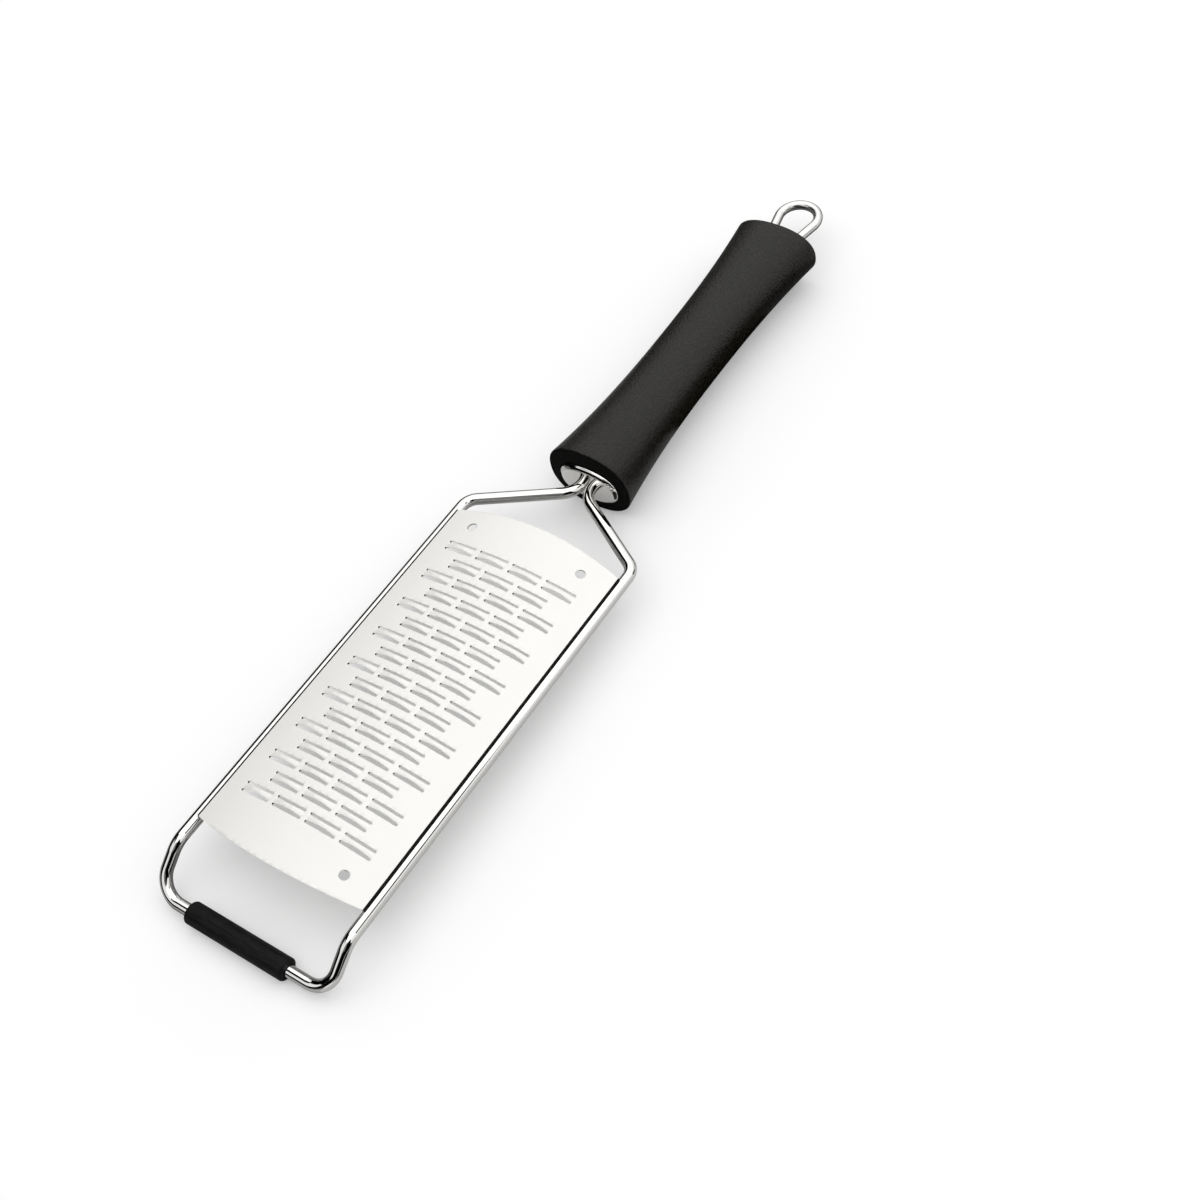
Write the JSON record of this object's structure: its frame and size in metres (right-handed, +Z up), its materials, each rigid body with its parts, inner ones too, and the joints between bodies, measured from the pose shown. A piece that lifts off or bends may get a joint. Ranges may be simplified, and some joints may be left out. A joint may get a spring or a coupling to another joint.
{
  "type": "coarse grater",
  "caption": "Hand grater: arched sheet blade with rows of raised ribbon teeth on a bent rod frame, with a sleeved foot bar, a waisted oval grip and a wire hanging loop.",
  "frame": {"origin": "middle of the bounding box in plan, on the table that the grater lies on", "axes": "+Z up, out of the toothed side; +Y along the grater, from the foot bar to the hanging loop; +X across"},
  "size_m": [0.0702, 0.3366, 0.026],
  "materials": {
    "satin_blade_steel": "satin",
    "polished_rod": "polished",
    "sleeve_rubber": "matte",
    "polished_cap": "polished",
    "grip_rubber": "matte, fine grain",
    "core_plastic": "matte",
    "polished_wire": "polished"
  },
  "bodies": {
    "root": {"blade": "satin_blade_steel", "frame_rod": "polished_rod", "foot_sleeve": "sleeve_rubber", "front_cap": "polished_cap", "handle_grip": "grip_rubber", "handle_core": "core_plastic", "hanging_loop": "polished_wire"}
  },
  "joints": []
}
